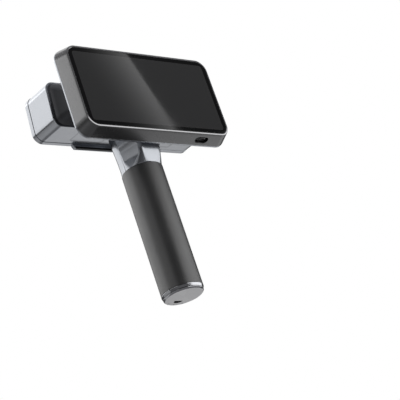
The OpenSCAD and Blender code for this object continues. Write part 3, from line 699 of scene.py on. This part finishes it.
def make_display_frame():
    """Flared metal frame: a polished chamfer round the glass, soft outer edges, port and button cut out."""
    def size(y, grow):
        share = max(y, 0) / FRAME_DEPTH
        width = FRAME_FRONT[0] + (FRAME_BACK[0] - FRAME_FRONT[0]) * share + 2 * grow
        height = FRAME_FRONT[1] + (FRAME_BACK[1] - FRAME_FRONT[1]) * share + 2 * grow
        radius = FRAME_FRONT[2] + (FRAME_BACK[2] - FRAME_FRONT[2]) * share + grow
        return slab_ring(y, width, height, radius, steps=14)

    profile = [(1.1, -1.68), (0.05, -1.68), (-0.28, -1.35), (-0.3, -1.25), (-0.1, -0.35), (0.12, -0.12),
               (0.45, 0.0), (2.0, 0.0), (FRAME_DEPTH - 0.45, 0.0), (FRAME_DEPTH - 0.12, -0.12),
               (FRAME_DEPTH, -0.4), (FRAME_DEPTH, -2.2), (3.2, -2.2), (1.1, -2.6)]
    skins = [0, 1, 1, 1, 0, 0, 0, 0, 0, 0, 0, 0, 0, 0]
    piece = loft("screen_frame", [size(*point) for point in profile], DISPLAY, closed=True, skins=skins)
    cutters = [
        oblong("socket_pocket", 15.0, 7.0, -50, -38, (PORT_X, PORT_Y), DISPLAY),
        oblong("button_slot", 9.4, 3.4, 38, 50, (BUTTON_X, BUTTON_Y), DISPLAY),
    ]
    carve(piece, cutters)
    settle(piece, [LOOKS["gunmetal_paint"], POLISHED], "scanner", "gunmetal_paint", "display_frame")


def make_screen_glass():
    """Screen glass with a rounded edge."""
    profile = [(1.1, 0.05), (0.35, 0.05), (0.1, 0.15), (0.0, 0.45)]
    piece = loft("screen_cover_glass", inset_rings(SCREEN, profile, steps=14), DISPLAY)
    settle(piece, [LOOKS["screen_black"]], "scanner", "screen_black", "screen_glass")


def make_back_shell():
    """Rear shell of the display, its rim rolled over towards the rear."""
    front = FRAME_DEPTH + 0.05
    back = DISPLAY_DEPTH
    profile = [(front, 2.0), (front, 0.45), (front + 0.12, 0.12), (front + 0.45, 0.0), (back - 1.5, 0.0)]
    profile += [(back - 1.5 + 1.5 * math.sin(math.radians(a)), 1.5 - 1.5 * math.cos(math.radians(a)))
                for a in (15, 30, 45, 60, 75, 90)]
    skins = [1] * 7 + [0] * (len(profile) - 8)
    piece = loft("display_rear_shell", inset_rings(FRAME_BACK, profile, steps=14), DISPLAY, skins=skins)
    looks = [LOOKS["silver_paint"], LOOKS["silver_metal"]]
    settle(piece, looks, "scanner", "silver_paint", "display_back_shell")


def make_name_plate():
    """Blank dark plate on the display's rear face."""
    outline = [(26, 31), (26, 39), (-16, 39), (-20.5, 37.4), (-15, 31)]
    rings = [[(x, y, z) for x, z in outline] for y in (DISPLAY_DEPTH + 0.02, DISPLAY_DEPTH + 0.82)]
    piece = loft("blank_plate", rings, DISPLAY)
    soften(piece, 0.25, 3)
    settle(piece, [LOOKS["black_plastic"]], "scanner", "black_plastic", "name_plate")


def make_port():
    """Data socket: an oblong flange in the frame's pocket, a steel mouth, its tongue and contacts."""
    low = -FRAME_FRONT[1] / 2 + 0.6
    place = (PORT_X, PORT_Y)
    flange = oblong("socket_flange", 14.8, 6.8, low, low + 1.2, place, DISPLAY)
    soften(flange, 0.25, 2, 50)
    shell = oblong("socket_shell", 9.1, 3.3, low - 1.4, low + 7.6, place, DISPLAY)
    carve(shell, [oblong("mouth", 8.5, 2.7, low - 2, low + 6.4, place, DISPLAY)])
    carve(flange, [oblong("mouth", 8.5, 2.7, low - 2, low + 6.4, place, DISPLAY)])
    soften(shell, 0.1, 2, 50)
    piece = joined("socket_shell_and_flange", [flange, shell])
    settle(piece, [LOOKS["steel_screw"]], "scanner", "steel_screw", "usb_port")
    tongue = block("tongue", (PORT_X - 3, PORT_Y - 0.35, low - 0.8),
                   (PORT_X + 3, PORT_Y + 0.35, low + 6.4), DISPLAY)
    soften(tongue, 0.1, 2)
    settle(tongue, [LOOKS["black_plastic"]], "scanner", "black_plastic")
    pins = []
    for i in range(10):
        x = PORT_X - 2.5 + i * 0.55
        for y in (PORT_Y - 0.42, PORT_Y + 0.35):
            pins.append(block("pin", (x, y, low - 0.4), (x + 0.25, y + 0.07, low + 5), DISPLAY))
    contacts = joined("socket_contacts", pins)
    settle(contacts, [LOOKS["brass_metal"]], "scanner", "brass_metal")


def make_power_button():
    """Oblong key on the top edge with a shallow thumb dish."""
    low = FRAME_FRONT[1] / 2 - 3
    top = low + 5.15
    outline = rounded_rect(9.0, 3.0, 1.45, 8)
    rings = []
    levels = ((low + 1.0, 0.0), (top - 0.45, 0.0), (top - 0.13, 0.13), (top, 0.45), (top - 0.18, 0.95))
    for z, shrink in levels:
        rings.append([(BUTTON_X + a * (1 - shrink / 4.5), BUTTON_Y + b * (1 - shrink / 1.5), z)
                      for a, b in outline])
    key = loft("power_key", rings, DISPLAY)
    foot = block("flange", (BUTTON_X - 5.6, BUTTON_Y - 2.2, low - 0.05),
                 (BUTTON_X + 5.6, BUTTON_Y + 2.2, low + 1.15), DISPLAY)
    piece = joined("power_key_and_flange", [key, foot])
    settle(piece, [LOOKS["gunmetal_paint"]], "button", "gunmetal_paint", "power_button")


# ---- neck ----


def under_head_plane():
    """A point and the upward normal of the head's underside."""
    point = HEAD @ Vector((0, 0, -SHELL[1] / 2 - 0.1))
    normal = HEAD.to_3x3() @ Vector((0, 0, 1))
    return point, normal


def between(levels, height):
    """Row of numbers at a height, on straight lines between levels of (height, numbers...)."""
    for low, high in zip(levels, levels[1:]):
        if height <= high[0]:
            share = (height - low[0]) / (high[0] - low[0])
            return [a + (b - a) * share for a, b in zip(low[1:], high[1:])]
    return list(levels[-1][1:])


def hull_point(circles, angle):
    """Point of a stretched outline round some (x, y, radius) circles where it faces an angle."""
    facing = Vector((math.cos(math.radians(angle)), math.sin(math.radians(angle))))
    x, y, radius = max(circles, key=lambda circle: facing.x * circle[0] + facing.y * circle[1] + circle[2])
    return (x + radius * facing.x, y + radius * facing.y)


def neck_half(name, outline, top, seam_y):
    """Half of the neck from a function that gives its outer outline at a height, with a broken seam edge."""
    side = 1 if seam_y > 0 else -1
    rings = []
    for i in range(top + 1):
        shrink = 0.3 if i == 0 else 0.0
        outer = outline(max(i - 0.7, 0.0), shrink)
        edge = abs(outer[0][0]) - 0.35
        outer = [(edge, seam_y)] + outer + [(-edge, seam_y)]
        inner = arc(0, seam_y, NECK_R - 2, 180, 0 if side > 0 else 360, 36)
        rings.append([(x, y, GRIP_TOP + 0.2 + max(i - 0.7, 0.0)) for x, y in outer + inner])
    piece = loft(name, rings)
    trim(piece, *under_head_plane())
    return piece


def make_neck_front():
    """Front half of the neck, flaring a little towards the head."""
    levels = [(0, 18.7), (6, 18.6), (14, 18.8), (24, 19.3), (34, 20.0), (46, 20.4)]

    def outline(height, shrink):
        return arc(0, 0.06, between(levels, height)[0] - shrink, 1.2, 178.8, 40)

    piece = neck_half("neck_front", outline, 44, 0.06)
    carve(piece, [block("chin_way", (-60, -5.5, -22.7), (60, 20, -12), HEAD)])
    settle(piece, [LOOKS["silver_metal"]], "scanner", "silver_metal", "neck_front_shell", angle=40)


def make_neck_rear():
    """Rear half of the neck: round at the grip, then a flat back that leans rearwards to the display."""
    levels = [(0, 18.7, 0, 0, 18.7), (9, 18.8, 7.2, -14.3, 6.0), (18.5, 19.2, 8.6, -17.3, 5.0),
              (25, 19.6, 10.0, -22.0, 5.0), (42, 20.0, 10.5, -23.0, 5.0)]

    def outline(height, shrink):
        side_x, corner_x, corner_y, radius = between(levels, height)
        radius -= shrink
        circles = [(s * (side_x - shrink - radius), 0, radius) for s in (1, -1)]
        circles += [(s * corner_x, corner_y, radius) for s in (1, -1)]
        return [hull_point(circles, -1.2 - i * 177.6 / 44) for i in range(45)]

    piece = neck_half("neck_rear", outline, 42, -0.05)
    trim(piece, (0, DISPLAY_BACK_Y + 0.1, 0), (0, -1, 0))
    settle(piece, [LOOKS["silver_metal"]], "scanner", "silver_metal", "neck_rear_shell", angle=40)


# ---- grip ----


def make_grip_sleeve():
    """Soft-touch sleeve with rolled ends."""
    inner = GRIP_R - 1.6
    profile = [(inner, GRIP_BOTTOM + 0.1), (GRIP_R - 0.5, GRIP_BOTTOM), (GRIP_R - 0.15, GRIP_BOTTOM + 0.15),
               (GRIP_R, GRIP_BOTTOM + 0.5)]
    profile += [(GRIP_R, GRIP_BOTTOM + 0.5 + i * (GRIP_TOP - GRIP_BOTTOM - 1.0) / 8) for i in range(1, 9)]
    profile += [(GRIP_R - 0.15, GRIP_TOP - 0.15), (GRIP_R - 0.5, GRIP_TOP), (inner, GRIP_TOP - 0.1)]
    piece = turned("soft_sleeve", profile, segments=128, closed=True)
    settle(piece, [LOOKS["grip_rubber"]], "scanner", "grip_rubber", "grip_sleeve")


def make_foot_ring():
    """Polished ring that narrows towards the foot, with a bright upper edge."""
    profile = [(15.95, 2.0), (GRIP_R - 0.85, 2.0), (GRIP_R - 0.7, 2.1), (GRIP_R - 0.06, 3.95),
               (GRIP_R, 4.2), (GRIP_R, 4.45), (GRIP_R - 0.15, 4.6), (15.95, 4.6)]
    piece = turned("polished_ring", profile, segments=128, closed=True)
    settle(piece, [LOOKS["chrome_ring"]], "scanner", "chrome_ring", "foot_ring")


def make_foot_cap():
    """Turning cap: polished bevelled edge, grey face, dark finger recess and three index marks."""
    skirt = 15.77
    profile = [(0.0, 0.0), (17.0, 0.0), (17.2, 0.02), (17.5, 0.22), (18.3, 1.1), (18.4, 1.3), (18.4, 1.55),
               (18.1, 1.6), (18.1, 1.9), (skirt, 1.9), (skirt, 6.0), (14.65, 6.0), (14.65, 7.2), (skirt, 7.2),
               (skirt, 13.7), (skirt - 0.3, 14.0), (13.3, 14.0), (13.3, 3.0), (0.0, 3.0)]
    skins = [0, 0, 1, 1, 1, 1, 2, 2, 2] + [0] * 9
    piece = turned("turning_cap", profile, segments=128, skins=skins)
    rings = []
    for z, shrink in ((-0.6, 1.12), (0.0, 1.0), (1.7, 0.9)):
        outline = arc(0, 8.1, 4.6 * shrink, 0, 180, 24)
        rings.append([(x, y, z) for x, y in outline])
    recess = loft("recess", rings, skins=2)
    marks = []
    for angle in (60, 90, 120):
        turn = Matrix.Rotation(math.radians(angle - 90), 4, "Z")
        marks.append(block("mark", (-0.35, 14.6, -0.5), (0.35, 16.4, 0.4), ROW, turn))
    lugs = [block("lug", (-16.6, -3, 9), (-14, 3, 11)), block("lug", (14, -3, 9), (16.6, 3, 11))]
    carve(piece, [recess] + marks)
    piece = joined("turning_cap", [piece] + lugs)
    looks = [LOOKS["grey_plastic"], LOOKS["chrome_ring"], LOOKS["black_plastic"]]
    settle(piece, looks, "cap", "grey_plastic", "foot_cap")


for make in (
    make_front_bezel, make_head_shell, make_bottom_cover, make_chin, make_rear_housing, make_top_vents,
    make_cameras, make_camera_windows, make_led_windows, make_projector, make_sensor_windows,
    make_display_frame, make_screen_glass, make_back_shell, make_name_plate, make_port, make_power_button,
    make_neck_front, make_neck_rear, make_grip_sleeve, make_foot_ring, make_foot_cap,
):
    make()


# ---- studio ----


def softbox(name, direction, size, level):
    """Rectangular light of even brightness, from an azimuth and elevation; level 1 looks white."""
    data = bpy.data.lights.new(name, "AREA")
    data.shape = "RECTANGLE"
    data.size = size[0]
    data.size_y = size[1]
    data.energy = level * math.pi * size[0] * size[1]
    lamp = bpy.data.objects.new(name, data)
    bpy.context.scene.collection.objects.link(lamp)
    azimuth, elevation = (math.radians(value) for value in direction)
    flat = math.cos(elevation)
    out = Vector((math.cos(azimuth) * flat, math.sin(azimuth) * flat, math.sin(elevation)))
    lamp.location = Vector(AIM) * MM + out * SOFTBOX_DISTANCE
    lamp.rotation_mode = "QUATERNION"
    lamp.rotation_quaternion = (-out).to_track_quat("-Z", "Y")
    lamp.visible_camera = False


def make_world():
    """White to the camera; for light and reflections, dark below, soft at the horizon, brighter above."""
    world = bpy.data.worlds.new("studio")
    bpy.context.scene.world = world
    world.use_nodes = True
    tree = world.node_tree
    tree.nodes.clear()
    place = add(tree, "TexCoord").outputs["Generated"]
    height = add(tree, "SeparateXYZ", {"Vector": place}).outputs["Z"]
    share = add(tree, "MapRange", {"Value": height, 1: -1.0, 2: 1.0, 3: 0.0, 4: 1.0}).outputs[0]
    ramp = tree.nodes.new("ShaderNodeValToRGB")
    tree.links.new(share, ramp.inputs[0])
    levels = ((0.0, 0.12), (0.2, 0.17), (0.4, 0.07), (0.5, 0.05), (0.7, 0.06), (0.85, 0.2), (1.0, 0.4))
    while len(ramp.color_ramp.elements) < len(levels):
        ramp.color_ramp.elements.new(0.5)
    for element, (position, level) in zip(ramp.color_ramp.elements, levels):
        element.position = position
        element.color = (level, level, level * 1.03, 1)
    room = add(tree, "Background", {"Color": ramp.outputs[0], "Strength": 1.0})
    paper = add(tree, "Background", {"Color": (1, 1, 1, 1), "Strength": 1.0})
    seen = add(tree, "LightPath").outputs["Is Camera Ray"]
    mix = add(tree, "MixShader", {0: seen, 1: room.outputs[0], 2: paper.outputs[0]})
    output = add(tree, "OutputWorld")
    tree.links.new(mix.outputs[0], output.inputs["Surface"])


def make_floor():
    """Plain pale floor well below the object, which hangs in the air; it neither lights nor shades it."""
    mesh = bpy.data.meshes.new("floor")
    side = 30.0
    level = -0.85
    corners = [(-side, -side, level), (side, -side, level), (side, side, level), (-side, side, level)]
    mesh.from_pydata(corners, [], [(0, 1, 2, 3)])
    floor = bpy.data.objects.new("floor", mesh)
    bpy.context.scene.collection.objects.link(floor)
    mesh.materials.append(finish("floor", (0.8, 0.8, 0.8), 0.9, 0.0, 60.0, 0.05, 0.01, 0.03,
                                 Emission_Color=(1.0, 1.0, 1.0, 1.0), Emission_Strength=0.45))
    floor.visible_glossy = False
    floor.visible_diffuse = False
    floor.visible_shadow = False


def make_sheen_card():
    """Card whose sharp edge makes the slanting sheen on the screen, seen only in reflections."""
    edge_top = Vector((534.6, -602.0, 669.7))
    edge_low = Vector((591.8, -611.0, 539.5))
    left = Vector((437.0, -621.0, 678.3))
    along = (edge_top - edge_low).normalized()
    across = left - edge_top
    across = (across - along * across.dot(along)).normalized()
    middle = (edge_top + edge_low) / 2
    width = 95.0
    half = 330.0
    corners = [middle + across * width - along * half, middle - along * half, middle + along * half,
               middle + across * width + along * half]
    bm = bmesh.new()
    verts = [bm.verts.new(corner * MM) for corner in corners]
    face = bm.faces.new(verts)
    uv = bm.loops.layers.uv.new("across")
    for loop, value in zip(face.loops, ((0, 0), (1, 0), (1, 1), (0, 1))):
        loop[uv].uv = value
    mesh = bpy.data.meshes.new("sheen_card")
    bm.to_mesh(mesh)
    bm.free()
    card = bpy.data.objects.new("sheen_card", mesh)
    bpy.context.scene.collection.objects.link(card)
    material = bpy.data.materials.new("look_sheen_card")
    material.use_nodes = True
    tree = material.node_tree
    tree.nodes.clear()
    spot = add(tree, "SeparateXYZ", {"Vector": add(tree, "UVMap").outputs[0]}).outputs["X"]
    fade = {"Value": maths(tree, "POWER", spot, 2.8), 1: 0.0, 2: 1.0, 3: 0.0, 4: 1.6}
    level = add(tree, "MapRange", fade).outputs[0]
    light = add(tree, "Emission", {"Color": (1, 1, 1, 1), "Strength": level})
    clear = add(tree, "BsdfTransparent")
    both = add(tree, "AddShader", {0: light.outputs[0], 1: clear.outputs[0]})
    tree.links.new(both.outputs[0], add(tree, "OutputMaterial").inputs["Surface"])
    mesh.materials.append(material)
    card.visible_camera = False
    card.visible_diffuse = False
    card.visible_shadow = False


make_world()
make_floor()
make_sheen_card()
softbox("left_box", (120, 27), (2.5, 1.05), 0.97)
softbox("side_fill", (190, 20), (1.25, 1.0), 0.33)
softbox("right_box", (312, 3), (3.2, 1.2), 1.12)
softbox("low_back_box", (40, -26), (1.3, 1.0), 0.42)
softbox("low_front_box", (130, -24), (2.0, 1.1), 0.21)
softbox("upper_box", (75, 52), (2.2, 0.9), 1.0)

view = bpy.context.scene.view_settings
view.view_transform = "Standard"
view.look = "None"


# ---- camera ----

camera_data = bpy.data.cameras.new("photo_camera")
camera_data.lens = 121.7
camera_data.sensor_width = 36.0
camera_data.clip_end = 100.0
camera = bpy.data.objects.new("photo_camera", camera_data)
bpy.context.scene.collection.objects.link(camera)
right = Vector((0.75479, -0.58013, -0.30618))
up = Vector((-0.02735, -0.49417, 0.86893))
back = Vector((-0.6554, -0.64749, -0.38886))
turn = Matrix((right, up, back)).transposed()
camera.matrix_world = Matrix.Translation(Vector((-759.28, -807.44, -386.75)) * MM) @ turn.to_4x4()
bpy.context.scene.camera = camera
